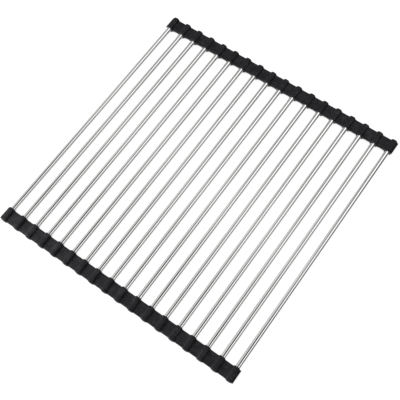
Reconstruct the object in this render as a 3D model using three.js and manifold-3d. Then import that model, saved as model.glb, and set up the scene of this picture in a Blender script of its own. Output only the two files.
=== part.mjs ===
// Roll-up dish rack: eighteen round stainless steel tubes lie side by side, and
// each end of every tube is pushed into a moulded silicone strip. The strip is
// thick around each tube and thin between two tubes, so the rack rolls up along
// those thin webs. Lengths are in millimetres.
//
// Frame: +Z up, z = 0 on the surface the rack lies on, origin at the middle of
// the underside. +Y runs along the tubes, from the near strip to the far strip.
// +X runs along the strips, from tube 1 to tube 18.
//
// Each strip is cut at the middle of every web into links that stay together
// with their tube, and neighbouring links turn about a line along Y there.

import * as THREE from "three";
import { mergeVertices } from "three/addons/utils/BufferGeometryUtils.js";
import Module from "manifold-3d";

const wasm = await Module();
wasm.setup();

// ---- driving dimensions -------------------------------------------------

const TUBE_COUNT = 18;
const PITCH = 22; // tube centre to tube centre
const TUBE_OUTER_D = 7;
const TUBE_WALL = 0.5;
const TUBE_SIDES = 12;
const TUBE_LENGTH = 391; // end to end, inside both strips

const HEIGHT = 9.5; // underside to top of the thick part of a strip
const AXIS_Z = HEIGHT / 2; // tubes and webs lie at half height

const HUMP_OUTER_Y = 200; // outer end face of the thick part
const HUMP_INNER_Y = 178.7; // face the tube comes out of
const HUMP_EDGE = 0.6; // rounding of the end faces
const WEB_OUTER_Y = 199; // the web is set back from both end faces
const WEB_INNER_Y = 180;
const WEB_THICKNESS = 3;

const SOCKET_CLEAR = 0.2; // on the radius, around the tube
const SOCKET_FLOOR_Y = 196.2; // closed end of the blind hole

const LINK_GAP = 0.3; // between two neighbouring links, at the turning line
const NOTCH_DEG = 36; // each link end slopes back this much from the vertical

// Thick part around a tube, half section from top to bottom: x from the tube's
// centre, z up. The top is well rounded, and the underside is a flat foot.
const HUMP_HALF = [
  [1.7, HEIGHT / 2],
  [3.1, 4.35],
  [4.2, 3.25],
  [4.65, 1.9],
  [4.95, -2.4],
  [4.95, -4.0],
  [4.3, -HEIGHT / 2],
];

// Seen from above, both end faces of the thick part are domed: x from the tube's
// centre, and how far the face stands back there.
const OUTER_DOME = [
  [1.9, 0],
  [3.4, 0.4],
  [5.4, 0.9],
];
const INNER_DOME = [
  [2.4, 0],
  [3.8, 0.5],
  [5.4, 1.15],
];

// Where the web meets the thick part, and the rounded lip past the end tubes.
const FILLET_OUT = 6.0;
const FILLET_UP = 2.7;
const LIP_X = 6.6;
const LIP_Z = 0.8;

// ---- materials ----------------------------------------------------------

const steel = () =>
  new THREE.MeshStandardMaterial({
    color: 0xc9cacb,
    roughness: 0.22,
    metalness: 1.0,
  });
const silicone = () =>
  new THREE.MeshStandardMaterial({
    color: 0x29292b,
    roughness: 0.62,
    metalness: 0.0,
  });

// ---- helpers ------------------------------------------------------------

// A closed solid for joining and cutting.
function solid(geometry) {
  const g = geometry.index ? geometry.toNonIndexed() : geometry.clone();
  g.deleteAttribute("normal");
  g.deleteAttribute("uv");
  const merged = mergeVertices(g, 1e-4);
  return new wasm.Manifold(
    new wasm.Mesh({
      numProp: 3,
      vertProperties: new Float32Array(merged.attributes.position.array),
      triVerts: new Uint32Array(merged.index.array),
    }),
  );
}

function toGeometry(made) {
  const m = made.getMesh();
  const v = new Float32Array(m.numVert * 3);
  for (let i = 0; i < m.numVert; i++)
    v.set(m.vertProperties.subarray(i * m.numProp, i * m.numProp + 3), i * 3);
  const g = new THREE.BufferGeometry();
  g.setAttribute("position", new THREE.BufferAttribute(v, 3));
  g.setIndex(new THREE.BufferAttribute(new Uint32Array(m.triVerts), 1));
  const flat = g.toNonIndexed();
  flat.computeVertexNormals();
  return flat;
}

// A section drawn in x and z, run along y from y0 to y1 with bevelled ends.
function alongY(points, y0, y1, edge) {
  const shape = new THREE.Shape(points.map(([x, z]) => new THREE.Vector2(x, z)));
  const g = new THREE.ExtrudeGeometry(shape, {
    depth: y1 - y0 - 2 * edge,
    bevelEnabled: edge > 0,
    bevelThickness: edge,
    bevelSize: edge,
    bevelOffset: -edge,
    bevelSegments: 1,
    curveSegments: 1,
    steps: 1,
  });
  g.rotateX(Math.PI / 2); // drawn y becomes z, depth becomes -y
  g.translate(0, y1 - edge, 0);
  return g;
}

// A block as tall as the strip, with the outline of a thick part seen from above.
function plan(side) {
  const half = [
    ...OUTER_DOME.map(([x, back]) => [x, HUMP_OUTER_Y - back]),
    ...INNER_DOME.map(([x, back]) => [x, HUMP_INNER_Y + back]).reverse(),
  ];
  const outline = [...half, ...half.map(([x, y]) => [-x, y]).reverse()];
  const shape = new THREE.Shape(outline.map(([x, y]) => new THREE.Vector2(x, side * y)));
  const g = new THREE.ExtrudeGeometry(shape, { depth: 2 * HEIGHT, bevelEnabled: false });
  g.translate(0, 0, -HEIGHT);
  return g;
}

// The web's right-hand side, from the middle of the thick part outwards.
function webSide(last) {
  const t = WEB_THICKNESS / 2;
  if (last)
    return [
      [FILLET_OUT - 1.9, FILLET_UP],
      [FILLET_OUT - 0.4, t],
      [LIP_X, LIP_Z],
      [LIP_X, -LIP_Z],
      [FILLET_OUT - 0.4, -t],
      [FILLET_OUT - 1.9, -FILLET_UP],
    ];
  const tip = PITCH / 2 - LINK_GAP / 2;
  const back = tip - t * Math.tan((NOTCH_DEG * Math.PI) / 180);
  return [
    [FILLET_OUT - 1.6, FILLET_UP],
    [FILLET_OUT, t],
    [back, t],
    [tip, 0],
    [back, -t],
    [FILLET_OUT, -t],
    [FILLET_OUT - 1.6, -FILLET_UP],
  ];
}

const mirrored = (points) => points.map(([x, z]) => [-x, z]).reverse();

// One link of a strip, with its tube's centre line on the y axis. side is -1
// for the near strip and +1 for the far strip.
function link(side, first, last) {
  const otherHalf = HUMP_HALF.map(([x, z]) => [-x, z]).reverse();
  const hump = [...HUMP_HALF, ...otherHalf];
  const web = [...webSide(last), ...mirrored(webSide(first))];
  const span = (a, b) => (side > 0 ? [a, b] : [-b, -a]);

  const block = solid(alongY(hump, ...span(HUMP_INNER_Y, HUMP_OUTER_Y), HUMP_EDGE));
  const body = block.intersect(solid(plan(side)));
  const leaf = solid(alongY(web, ...span(WEB_INNER_Y, WEB_OUTER_Y), 0));

  // Blind hole that grips the tube's end, drilled from the inner face.
  const mouth = HUMP_INNER_Y - 2;
  const bore = new THREE.CylinderGeometry(
    TUBE_OUTER_D / 2 + SOCKET_CLEAR,
    TUBE_OUTER_D / 2 + SOCKET_CLEAR,
    SOCKET_FLOOR_Y - mouth,
    TUBE_SIDES,
  );
  bore.translate(0, (side * (SOCKET_FLOOR_Y + mouth)) / 2, 0);

  return toGeometry(body.add(leaf).subtract(solid(bore)));
}

// A drawn tube with open ends, along y.
function tube() {
  const r = TUBE_OUTER_D / 2;
  const h = TUBE_LENGTH / 2;
  return new THREE.LatheGeometry(
    [
      new THREE.Vector2(r - TUBE_WALL, -h),
      new THREE.Vector2(r, -h),
      new THREE.Vector2(r, h),
      new THREE.Vector2(r - TUBE_WALL, h),
      new THREE.Vector2(r - TUBE_WALL, -h),
    ],
    TUBE_SIDES,
  );
}

// ---- the rack -----------------------------------------------------------

const group = new THREE.Group();
group.name = "roll_up_dish_rack";

function add(segment, name, geometry, material) {
  const mesh = new THREE.Mesh(geometry, material);
  mesh.name = name;
  segment.add(mesh);
}

for (let i = 1; i <= TUBE_COUNT; i++) {
  const number = String(i).padStart(2, "0");
  const first = i === 1;
  const last = i === TUBE_COUNT;
  const segment = new THREE.Group();
  segment.name = "segment_" + number;
  segment.position.set((i - (TUBE_COUNT + 1) / 2) * PITCH, 0, AXIS_Z);
  add(segment, "steel_tube_" + number, tube(), steel());
  add(segment, "near_strip_link_" + number, link(-1, first, last), silicone());
  add(segment, "far_strip_link_" + number, link(1, first, last), silicone());
  group.add(segment);
}

export default group;
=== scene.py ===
# Roll-up dish rack: eighteen steel tubes held in two black silicone strips.
# Lengths in the shape tables are in millimetres, and MM turns them into metres.
import math

import bmesh
import bpy
from mathutils import Matrix, Vector


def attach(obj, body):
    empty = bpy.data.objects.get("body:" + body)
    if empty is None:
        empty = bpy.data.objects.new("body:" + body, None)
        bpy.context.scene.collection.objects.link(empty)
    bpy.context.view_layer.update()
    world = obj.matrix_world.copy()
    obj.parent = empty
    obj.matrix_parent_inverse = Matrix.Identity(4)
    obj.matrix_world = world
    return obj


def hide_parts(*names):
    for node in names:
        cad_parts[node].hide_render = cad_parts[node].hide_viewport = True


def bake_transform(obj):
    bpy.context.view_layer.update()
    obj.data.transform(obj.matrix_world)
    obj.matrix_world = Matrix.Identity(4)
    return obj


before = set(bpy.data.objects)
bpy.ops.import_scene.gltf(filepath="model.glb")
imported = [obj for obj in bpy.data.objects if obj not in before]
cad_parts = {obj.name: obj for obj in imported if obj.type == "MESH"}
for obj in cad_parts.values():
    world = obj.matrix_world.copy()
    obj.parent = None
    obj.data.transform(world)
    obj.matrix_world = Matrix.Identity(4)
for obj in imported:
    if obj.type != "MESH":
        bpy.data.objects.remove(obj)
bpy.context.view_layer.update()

MM = 0.001
SCENE = bpy.context.scene

# ---- sizes, as in the CAD ------------------------------------------------

TUBE_COUNT = 18
PITCH = 22.0
TUBE_R = 3.5
TUBE_WALL = 0.5
TUBE_HALF = 195.5
AXIS_Z = 4.75

HUMP_OUT = 200.0  # outer end face of the thick part
HUMP_IN = 178.7  # face that the tube comes out of
WEB_OUT = 199.0
WEB_IN = 180.0
WEB_HALF = 1.5  # half the thickness of the web
CUT = 7.5  # from the tube's axis to where the bending web starts
END_X = 6.6  # from the end tube's axis to the strip's end
SOCKET_FLOOR = 196.2


def tube_x(i):
    return (i - (TUBE_COUNT + 1) / 2) * PITCH


# ---- camera --------------------------------------------------------------

cam_data = bpy.data.cameras.new("camera")
cam = bpy.data.objects.new("camera", cam_data)
SCENE.collection.objects.link(cam)
SCENE.camera = cam
cam_data.sensor_width = 36.0
cam_data.sensor_fit = "HORIZONTAL"
cam_data.lens = 66.7935
cam_data.clip_start = 0.05
cam_data.clip_end = 50.0
cam_right = Vector((0.807997, 0.585688, -0.064119))
cam_up = Vector((-0.516374, 0.756342, 0.401628))
cam_back = Vector((0.283724, -0.291404, 0.913556))
turn = Matrix((cam_right, cam_up, cam_back)).transposed()
cam.matrix_world = Matrix.Translation((0.302421, -0.316284, 0.923334)) @ turn.to_4x4()


# ---- material helpers ----------------------------------------------------


def new_material(name):
    mat = bpy.data.materials.new(name)
    mat.use_nodes = True
    nt = mat.node_tree
    nt.nodes.clear()
    out = nt.nodes.new("ShaderNodeOutputMaterial")
    bsdf = nt.nodes.new("ShaderNodeBsdfPrincipled")
    nt.links.new(bsdf.outputs["BSDF"], out.inputs["Surface"])
    return mat, nt, bsdf


def node(nt, kind, **values):
    n = nt.nodes.new(kind)
    for key, value in values.items():
        if hasattr(n, key):
            setattr(n, key, value)
        else:
            n.inputs[key].default_value = value
    return n


def mapped(nt, scale, offset=(0, 0, 0)):
    """Object coordinates, scaled and moved."""
    tc = nt.nodes.new("ShaderNodeTexCoord")
    mp = nt.nodes.new("ShaderNodeMapping")
    mp.inputs["Scale"].default_value = scale
    mp.inputs["Location"].default_value = offset
    nt.links.new(tc.outputs["Object"], mp.inputs["Vector"])
    return mp.outputs["Vector"]


def noise(nt, vector, scale, detail=2.0, rough=0.5):
    n = nt.nodes.new("ShaderNodeTexNoise")
    n.inputs["Scale"].default_value = scale
    n.inputs["Detail"].default_value = detail
    n.inputs["Roughness"].default_value = rough
    nt.links.new(vector, n.inputs["Vector"])
    return n.outputs["Fac"]


def remap(nt, value, a, b, lo, hi):
    n = nt.nodes.new("ShaderNodeMapRange")
    n.inputs["From Min"].default_value = a
    n.inputs["From Max"].default_value = b
    n.inputs["To Min"].default_value = lo
    n.inputs["To Max"].default_value = hi
    nt.links.new(value, n.inputs["Value"])
    return n.outputs["Result"]


def math_node(nt, op, a, b=None, clamp=False):
    n = nt.nodes.new("ShaderNodeMath")
    n.operation = op
    n.use_clamp = clamp
    for k, v in enumerate((a, b)):
        if v is None:
            continue
        if isinstance(v, (int, float)):
            n.inputs[k].default_value = v
        else:
            nt.links.new(v, n.inputs[k])
    return n.outputs[0]


def ramp(nt, value, stops):
    n = nt.nodes.new("ShaderNodeValToRGB")
    while len(n.color_ramp.elements) < len(stops):
        n.color_ramp.elements.new(0.5)
    for e, (at, colour) in zip(n.color_ramp.elements, stops):
        e.position = at
        e.color = (*colour, 1)
    nt.links.new(value, n.inputs["Fac"])
    return n.outputs["Color"]


def bump(nt, height, strength, distance, normal=None):
    n = nt.nodes.new("ShaderNodeBump")
    n.inputs["Strength"].default_value = strength
    n.inputs["Distance"].default_value = distance
    nt.links.new(height, n.inputs["Height"])
    if normal is not None:
        nt.links.new(normal, n.inputs["Normal"])
    return n.outputs["Normal"]


# ---- steel ---------------------------------------------------------------


def steel_material():
    mat, nt, bsdf = new_material("drawn_stainless_steel")
    # Fine lines left by drawing and polishing run along the tube.
    fine = noise(nt, mapped(nt, (1800, 3, 1800)), 1.0, 3.0, 0.6)
    broad = noise(nt, mapped(nt, (260, 7, 260), (3, 1, 7)), 1.0, 1.0, 0.5)
    smudge = noise(nt, mapped(nt, (90, 22, 90), (11, 5, 2)), 1.0, 3.0, 0.55)
    colour = ramp(
        nt,
        math_node(nt, "ADD", math_node(nt, "MULTIPLY", fine, 0.4), math_node(nt, "MULTIPLY", broad, 0.6)),
        [
            (0.30, (0.62, 0.615, 0.61)),
            (0.55, (0.70, 0.696, 0.692)),
            (0.75, (0.77, 0.766, 0.762)),
        ],
    )
    nt.links.new(colour, bsdf.inputs["Base Color"])
    bsdf.inputs["Metallic"].default_value = 1.0
    rough = math_node(
        nt,
        "ADD",
        remap(nt, smudge, 0.3, 0.7, 0.05, 0.10),
        remap(nt, fine, 0.3, 0.7, 0.0, 0.03),
    )
    nt.links.new(rough, bsdf.inputs["Roughness"])
    n1 = bump(nt, fine, 0.15, 0.00001)
    n2 = bump(nt, broad, 1.0, 0.00012, n1)
    nt.links.new(n2, bsdf.inputs["Normal"])
    return mat


# ---- silicone ------------------------------------------------------------


def silicone_material():
    mat, nt, bsdf = new_material("moulded_black_silicone")
    cell = noise(nt, mapped(nt, (1, 1, 1)), 420.0, 4.0, 0.62)
    cloud = noise(nt, mapped(nt, (1, 1, 1), (0.3, 0.1, 0.7)), 95.0, 3.0, 0.5)
    grit = noise(nt, mapped(nt, (1, 1, 1), (0.9, 0.4, 0.2)), 2600.0, 2.0, 0.5)
    mixed = math_node(nt, "ADD", math_node(nt, "MULTIPLY", cell, 0.6), math_node(nt, "MULTIPLY", cloud, 0.4))
    colour = ramp(
        nt,
        mixed,
        [
            (0.34, (0.0006, 0.0006, 0.0012)),
            (0.50, (0.0060, 0.0060, 0.0083)),
            (0.66, (0.0230, 0.0226, 0.0268)),
        ],
    )
    nt.links.new(colour, bsdf.inputs["Base Color"])
    rough = remap(nt, mixed, 0.38, 0.62, 0.60, 0.38)
    nt.links.new(rough, bsdf.inputs["Roughness"])
    bsdf.inputs["Specular IOR Level"].default_value = 0.21
    n1 = bump(nt, cell, 0.7, 0.00022)
    n2 = bump(nt, grit, 0.35, 0.00004, n1)
    nt.links.new(n2, bsdf.inputs["Normal"])
    return mat


STEEL = steel_material()
SILICONE = silicone_material()


# ---- mesh helpers --------------------------------------------------------


def piece(name, mesh, material):
    ob = bpy.data.objects.new(name, mesh)
    SCENE.collection.objects.link(ob)
    mesh.materials.clear()
    mesh.materials.append(material)
    return ob


def finish_mesh(bm, name, angle):
    bmesh.ops.remove_doubles(bm, verts=bm.verts, dist=1e-7)
    bmesh.ops.recalc_face_normals(bm, faces=bm.faces)
    mesh = bpy.data.meshes.new(name)
    bm.to_mesh(mesh)
    bm.free()
    for p in mesh.polygons:
        p.use_smooth = True
    mesh.set_sharp_from_angle(angle=math.radians(angle))
    return mesh


def lathe_y(profile, sides, cx=0.0, cz=0.0):
    """A closed profile of (radius, y) turned about a line along Y."""
    bm = bmesh.new()
    rings = []
    for r, y in profile:
        if r < 1e-9:
            rings.append([bm.verts.new((cx, y, cz))])
        else:
            rings.append(
                [
                    bm.verts.new(
                        (
                            cx + r * math.cos(2 * math.pi * k / sides),
                            y,
                            cz + r * math.sin(2 * math.pi * k / sides),
                        )
                    )
                    for k in range(sides)
                ]
            )
    for a, b in zip(rings, rings[1:] + rings[:1]):
        if len(a) == 1 and len(b) == 1:
            continue
        for k in range(sides):
            n = (k + 1) % sides
            if len(a) == 1:
                bm.faces.new((a[0], b[k], b[n]))
            elif len(b) == 1:
                bm.faces.new((a[k], a[n], b[0]))
            else:
                bm.faces.new((a[k], a[n], b[n], b[k]))
    return bm


# ---- tubes ---------------------------------------------------------------


def tube_mesh(name, cx):
    r, w, h = TUBE_R * MM, TUBE_WALL * MM, TUBE_HALF * MM
    e = 0.12 * MM
    # Rounded rims and a few rings along the length.
    outer = [(r, h - e)]
    outer += [(r, y * MM) for y in (181, 150, 100, 50, 0, -50, -100, -150, -181)]
    outer += [(r, -h + e)]
    profile = (
        outer
        + [(r - e, -h), (r - w + e, -h), (r - w, -h + e)]
        + [(r - w, h - e), (r - w + e, h), (r - e, h)]
    )
    return finish_mesh(lathe_y(profile, 48, cx, AXIS_Z * MM), name, 40)


# ---- silicone strips -----------------------------------------------------

CORNER = 6  # steps round each corner of a section


def bulge(x, flat, reach):
    """How far a domed end face stands out at x: 1 up to flat, and 0 from reach on."""
    t = min(1.0, max(0.0, (abs(x) - flat) / (reach - flat)))
    return 0.5 + 0.5 * math.cos(math.pi * t)


def section(x, up, down):
    """One cross-section of a strip at x, as (distance out along Y, z) points.

    up and down are its heights above and below the tubes' axes.
    """
    b, c = bulge(x, 1.2, 6.0), bulge(x, 0.8, 4.4)
    out = WEB_OUT + (HUMP_OUT - WEB_OUT) * b
    inn = WEB_IN - (WEB_IN - HUMP_IN) * bulge(x, 1.8, 5.8)
    top, low = min(0.6 * up, 1.0), min(0.6 * down, 1.1)
    # Both ends slope off longer at the top than below, the inner one from lower down.
    slope = 0.7 + 1.4 * b
    back, drop = 0.7 + 1.3 * c, min(0.6 * up, 1.0 + 2.0 * c)
    ry = 0.7 + 0.1 * b
    ridge = 0.10
    pts = []
    # outer end face: top corner, parting ridge, bottom corner
    for k in range(CORNER + 1):
        a = math.pi / 2 * (1 - k / CORNER)
        pts.append((out - ridge - slope + slope * math.cos(a), up - top + top * math.sin(a)))
    pts += [(out - ridge, 0.16), (out, 0.06), (out, -0.06), (out - ridge, -0.16)]
    for k in range(CORNER + 1):
        a = -math.pi / 2 * (k / CORNER)
        pts.append((out - ridge - ry + ry * math.cos(a), -down + low + low * math.sin(a)))
    # underside
    for k in range(1, 8):
        pts.append((out - ry - ridge + (inn + ry - out + ry + 2 * ridge) * k / 8, -down))
    # inner end face
    for k in range(CORNER + 1):
        a = -math.pi / 2 * (1 - k / CORNER)
        pts.append((inn + ridge + ry - ry * math.cos(a), -down + low + low * math.sin(a)))
    pts += [(inn + ridge, -0.16), (inn, -0.06), (inn, 0.06), (inn + ridge, 0.16)]
    for k in range(CORNER + 1):
        a = math.pi / 2 * (k / CORNER)
        pts.append((inn + ridge + back - back * math.cos(a), up - drop + drop * math.sin(a)))
    # top
    for k in range(1, 8):
        pts.append((inn + ridge + back + (out - slope - inn - back - 2 * ridge) * k / 8, up))
    return pts


def arc(cx, cz, rx, rz, a0, a1, steps, first=True):
    pts = []
    for k in range(0 if first else 1, steps + 1):
        a = math.radians(a0 + (a1 - a0) * k / steps)
        pts.append((cx + rx * math.cos(a), cz + rz * math.sin(a)))
    return pts


def height_at(curve, x):
    for (x0, z0), (x1, z1) in zip(curve, curve[1:]):
        if x0 <= x <= x1:
            return z0 if x1 - x0 < 1e-9 else z0 + (z1 - z0) * (x - x0) / (x1 - x0)
    return curve[-1][1]


def half_profile(end):
    """(x, height above, depth below) from the middle of the thick part outwards."""
    # The top is well rounded. The underside is a flat foot with small corners.
    over = [(0.0, 4.75), (0.6, 4.74), (1.2, 4.72), (1.7, 4.68), (2.2, 4.61), (2.6, 4.52), (3.0, 4.37)]
    over += [(3.35, 4.17), (3.68, 3.90), (3.96, 3.58), (4.2, 3.20), (4.38, 2.78), (4.51, 2.34)]
    under = [(0.0, 4.75), (4.15, 4.75)]
    under += arc(4.15, 3.95, 0.80, 0.80, 90, 4, 5, first=False)
    if end:
        # the rounded lip past the end tube
        over += [(4.58, 1.90)] + arc(5.62, 2.2, 0.99, 1.0, 195, 232, 4)
        under += [(5.0, 2.5)]
        under += arc(6.02, 2.5, 1.0, 1.15, 178, 232, 5, first=False)
        lip = arc(5.75, 0.0, 0.85, 1.42, 62, 6, 5)
        over += lip
        under += lip
    else:
        over += [(4.57, 1.92), (4.65, 1.78), (4.82, 1.69), (5.15, 1.65), (5.75, 1.59)]
        over += [(6.35, 1.545), (6.95, 1.515), (CUT, WEB_HALF)]
        under += [(5.0, 2.6)]
        under += arc(6.05, 2.60, 1.04, 1.10, 180, 270, 6, first=False)
        under += [(CUT, WEB_HALF)]
    xs = sorted({round(x, 4) for x, z in over + under})
    xs = [x for k, x in enumerate(xs) if k == 0 or x - xs[k - 1] > 0.02]
    return [(x, height_at(over, x), height_at(under, x)) for x in xs]


def strip_loft(stations, side, cx):
    """A closed solid through the sections at these (x, up, down) stations."""
    bm = bmesh.new()
    rings = []
    for x, up, down in stations:
        rings.append(
            [
                bm.verts.new(((cx + x) * MM, side * v * MM, (AXIS_Z + z) * MM))
                for v, z in section(x, up, down)
            ]
        )
    n = len(rings[0])
    for a, b in zip(rings, rings[1:]):
        for k in range(n):
            m = (k + 1) % n
            bm.faces.new((a[k], a[m], b[m], b[k]))
    bm.faces.new(rings[0])
    bm.faces.new(rings[-1])
    return bm


def drilled(mesh, side, cx):
    """Cuts the blind socket for the tube, with a rounded mouth."""
    r = TUBE_R + 0.04
    m = HUMP_IN + 0.10
    profile = [(0, SOCKET_FLOOR)]
    profile += [(r - 0.4, SOCKET_FLOOR), (r, SOCKET_FLOOR - 0.4), (r, m + 0.30)]
    profile += [(r + 0.035, m + 0.17), (r + 0.12, m + 0.06), (r + 0.28, m - 0.01)]
    profile += [(r + 0.28, m - 2.0), (0, m - 2.0)]
    bm = lathe_y([(a * MM, side * b * MM) for a, b in profile], 48, cx * MM, AXIS_Z * MM)
    tool_mesh = finish_mesh(bm, "socket_tool", 40)
    tool = bpy.data.objects.new("socket_tool", tool_mesh)
    work = bpy.data.objects.new("socket_work", mesh)
    SCENE.collection.objects.link(tool)
    SCENE.collection.objects.link(work)
    cut = work.modifiers.new("socket", "BOOLEAN")
    cut.operation = "DIFFERENCE"
    cut.solver = "EXACT"
    cut.object = tool
    dg = bpy.context.evaluated_depsgraph_get()
    made = bpy.data.meshes.new_from_object(work.evaluated_get(dg))
    bpy.data.objects.remove(work)
    bpy.data.objects.remove(tool)
    for p in made.polygons:
        p.use_smooth = True
    made.set_sharp_from_angle(angle=math.radians(38))
    return made


def grip_mesh(side, first, last):
    right = half_profile(last)
    left = [(-x, up, down) for x, up, down in half_profile(first)][::-1]
    stations = left[:-1] + right
    mesh = finish_mesh(strip_loft(stations, side, 0.0), "grip", 38)
    return drilled(mesh, side, 0.0)


def web_mesh(side, cx, name):
    """The thin web between two thick parts. cx is the middle of the gap."""
    reach = PITCH / 2 - CUT
    steps = 18
    stations = [-reach + 2 * reach * k / steps for k in range(steps + 1)]
    bm = bmesh.new()
    rings = []
    for x in stations:
        rings.append(
            [
                bm.verts.new(((cx + x) * MM, side * v * MM, (AXIS_Z + z) * MM))
                for v, z in section(CUT, WEB_HALF, WEB_HALF)
            ]
        )
    n = len(rings[0])
    for a, b in zip(rings, rings[1:]):
        for k in range(n):
            m = (k + 1) % n
            bm.faces.new((a[k], a[m], b[m], b[k]))
    bm.faces.new(rings[0])
    bm.faces.new(rings[-1])
    return finish_mesh(bm, name, 38)


# ---- the rack ------------------------------------------------------------

for i in range(1, TUBE_COUNT + 1):
    name = "tube_%02d" % i
    ob = piece(name, tube_mesh(name, tube_x(i) * MM), STEEL)
    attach(ob, "segment_%02d" % i)
    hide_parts("steel_tube_%02d" % i)

for side, label in ((-1, "near"), (1, "far")):
    shapes = {
        "first": grip_mesh(side, True, False),
        "middle": grip_mesh(side, False, False),
        "last": grip_mesh(side, False, True),
    }
    for i in range(1, TUBE_COUNT + 1):
        kind = "first" if i == 1 else "last" if i == TUBE_COUNT else "middle"
        mesh = shapes[kind].copy()
        mesh.transform(Matrix.Translation((tube_x(i) * MM, 0, 0)))
        name = "%s_grip_%02d" % (label, i)
        mesh.name = name
        ob = piece(name, mesh, SILICONE)
        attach(ob, "segment_%02d" % i)
        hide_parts("%s_strip_link_%02d" % (label, i))
    for i in range(1, TUBE_COUNT):
        name = "%s_web_%02d_%02d" % (label, i, i + 1)
        mid = (tube_x(i) + tube_x(i + 1)) / 2
        ob = piece(name, web_mesh(side, mid, name), SILICONE)
        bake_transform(ob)

# ---- floor, light and surroundings ---------------------------------------

floor_mesh = bpy.data.meshes.new("floor")
bm = bmesh.new()
bmesh.ops.create_grid(bm, x_segments=2, y_segments=2, size=6.0)
bm.to_mesh(floor_mesh)
bm.free()
floor = bpy.data.objects.new("floor", floor_mesh)
SCENE.collection.objects.link(floor)
floor_mat, nt, bsdf = new_material("white_floor")
bsdf.inputs["Base Color"].default_value = (0.20, 0.20, 0.20, 1)
bsdf.inputs["Roughness"].default_value = 1.0
bsdf.inputs["Specular IOR Level"].default_value = 0.0
bsdf.inputs["Emission Color"].default_value = (1, 1, 1, 1)
# Evenly white by its own glow, with a painted contact shadow: the glow is dimmed where ambient occlusion is low,
# so it goes dark where something rests on it or nearly does. The occlusion is taken about a normal tilted to the
# left and a little to the back, so this painted shade falls mostly to the right of each thing.
painted_shadow_ao = nt.nodes.new("ShaderNodeAmbientOcclusion")
painted_shadow_ao.samples = 32
painted_shadow_ao.inputs["Distance"].default_value = 0.014
painted_shadow_ao.inputs["Normal"].default_value = (-0.76, 0.17, 0.63)
# Painted contact shadow: the floor's glow follows the occlusion and drops to nothing in the deepest shade.
nt.links.new(remap(nt, painted_shadow_ao.outputs["AO"], 0.20, 0.28, 0.0, 0.9), bsdf.inputs["Emission Strength"])
floor_mesh.materials.append(floor_mat)
floor.visible_glossy = False


def area_light(name, place, target, size_x, size_y, power, colour=(1, 1, 1)):
    data = bpy.data.lights.new(name, "AREA")
    data.shape = "RECTANGLE"
    data.size, data.size_y = size_x, size_y
    data.energy = power
    data.color = colour
    ob = bpy.data.objects.new(name, data)
    SCENE.collection.objects.link(ob)
    ob.location = place
    aim = Vector(target) - Vector(place)
    ob.rotation_mode = "QUATERNION"
    ob.rotation_quaternion = aim.to_track_quat("-Z", "Y")
    ob.visible_camera = False
    return ob


# Two soft boxes in one place, so that the light fades out towards its edge.
area_light("key", (-0.72, -0.54, 0.47), (-0.10, -0.10, 0), 0.45, 0.45, 4.8)
area_light("key_edge", (-0.76, -0.58, 0.56), (-0.10, -0.10, 0), 0.8, 0.8, 5.5)

world = bpy.data.worlds.new("studio")
SCENE.world = world
world.use_nodes = True
wt = world.node_tree
wt.nodes.clear()
w_out = wt.nodes.new("ShaderNodeOutputWorld")
w_bg = wt.nodes.new("ShaderNodeBackground")
w_tc = wt.nodes.new("ShaderNodeTexCoord")
w_xyz = wt.nodes.new("ShaderNodeSeparateXYZ")
wt.links.new(w_tc.outputs["Generated"], w_xyz.inputs["Vector"])
dx, dy, dz = (w_xyz.outputs[k] for k in ("X", "Y", "Z"))
# Angle from straight up towards +X, in degrees. The soft boxes hang at a slant,
# so each swings as a direction leans further to the back, by its own amount.
beta = math_node(wt, "MULTIPLY", math_node(wt, "ARCTAN2", dx, dz), 180 / math.pi)
lean = remap(wt, dy, -0.04, 0.56, -0.20, 0.40)
SWING = [(-180, 0), (-95, 0), (-45, 145), (0, 140), (20, 103), (46, 90), (70, 20), (98, -60), (130, 0), (180, 0)]
swing = ramp(
    wt,
    remap(wt, beta, -180.0, 180.0, 0.0, 1.0),
    [((a + 180) / 360, ((v + 60) / 205,) * 3) for a, v in SWING],
)
swing = remap(wt, swing, 0.0, 1.0, -60.0, 145.0)
swung = remap(
    wt, math_node(wt, "ADD", beta, math_node(wt, "MULTIPLY", lean, swing)), -180.0, 180.0, 0.0, 1.0
)
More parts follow.
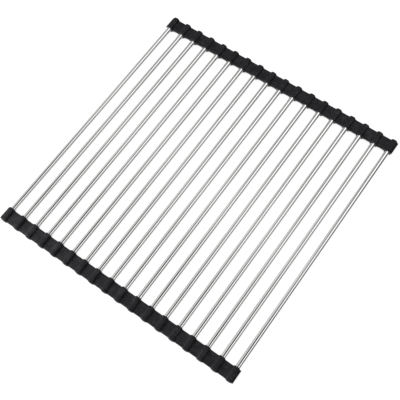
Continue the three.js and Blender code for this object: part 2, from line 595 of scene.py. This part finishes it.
# How bright the room is by that angle, for three heights at the back.
LOW_SKY = [
    (-180, 1.05),
    (-127, 0.90),
    (-108, 0.80),
    (-89, 0.78),
    (-70, 0.83),
    (-52, 0.96),
    (-33, 0.93),
    (-21, 0.63),
    (-11, 0.12),
    (-4, 0.02),
    (20, 0.02),
    (29, 0.14),
    (38, 1.25),
    (47, 2.40),
    (56, 2.00),
    (63, 0.62),
    (69, 0.05),
    (90, 0.02),
    (100, 0.16),
    (115, 0.54),
    (134, 0.78),
    (153, 0.90),
    (180, 1.05),
]
MIDDLE_SKY = [
    (-180, 1.05),
    (-127, 0.98),
    (-108, 0.91),
    (-86, 1.00),
    (-60, 1.05),
    (-40, 1.10),
    (-22, 0.98),
    (-6, 0.64),
    (12, 0.34),
    (25, 0.38),
    (34, 0.74),
    (42, 1.40),
    (52, 1.92),
    (60, 1.60),
    (68, 0.82),
    (78, 0.22),
    (88, 0.05),
    (99, 0.08),
    (112, 0.34),
    (134, 0.76),
    (153, 0.90),
    (180, 1.05),
]
HIGH_SKY = [
    (-180, 1.05),
    (-127, 0.86),
    (-108, 0.75),
    (-84, 0.78),
    (-48, 0.90),
    (-28, 0.60),
    (-10, 0.35),
    (12, 0.20),
    (23, 0.29),
    (32, 0.62),
    (41, 1.40),
    (50, 1.80),
    (59, 2.00),
    (65, 1.65),
    (70, 0.90),
    (74, 0.40),
    (78, 0.12),
    (82, 0.02),
    (93, 0.04),
    (107, 0.24),
    (134, 0.76),
    (153, 0.90),
    (180, 1.05),
]
SKY_MAX = 2.4
w_last = None
for sky, start, end in ((LOW_SKY, 0, 0), (MIDDLE_SKY, 0.18, 0.30), (HIGH_SKY, 0.30, 0.45)):
    band = ramp(wt, swung, [((a + 180) / 360, (v / SKY_MAX,) * 3) for a, v in sky])
    if w_last is not None:
        w_blend = wt.nodes.new("ShaderNodeMix")
        w_blend.data_type = "RGBA"
        wt.links.new(remap(wt, dy, start, end, 0.0, 1.0), w_blend.inputs["Factor"])
        wt.links.new(w_last, w_blend.inputs[6])
        wt.links.new(band, w_blend.inputs[7])
        band = w_blend.outputs[2]
    w_last = band
wt.links.new(w_last, w_bg.inputs["Color"])
w_bg.inputs["Strength"].default_value = SKY_MAX
# The camera sees a plain pale backdrop in its place.
w_plain = wt.nodes.new("ShaderNodeBackground")
w_plain.inputs["Color"].default_value = (1, 1, 1, 1)
w_path = wt.nodes.new("ShaderNodeLightPath")
w_seen = wt.nodes.new("ShaderNodeMixShader")
wt.links.new(w_path.outputs["Is Camera Ray"], w_seen.inputs["Fac"])
wt.links.new(w_bg.outputs["Background"], w_seen.inputs[1])
wt.links.new(w_plain.outputs["Background"], w_seen.inputs[2])
wt.links.new(w_seen.outputs["Shader"], w_out.inputs["Surface"])

SCENE.view_settings.view_transform = "Standard"
SCENE.view_settings.look = "None"
SCENE.view_settings.exposure = 0.0
SCENE.view_settings.gamma = 1.0
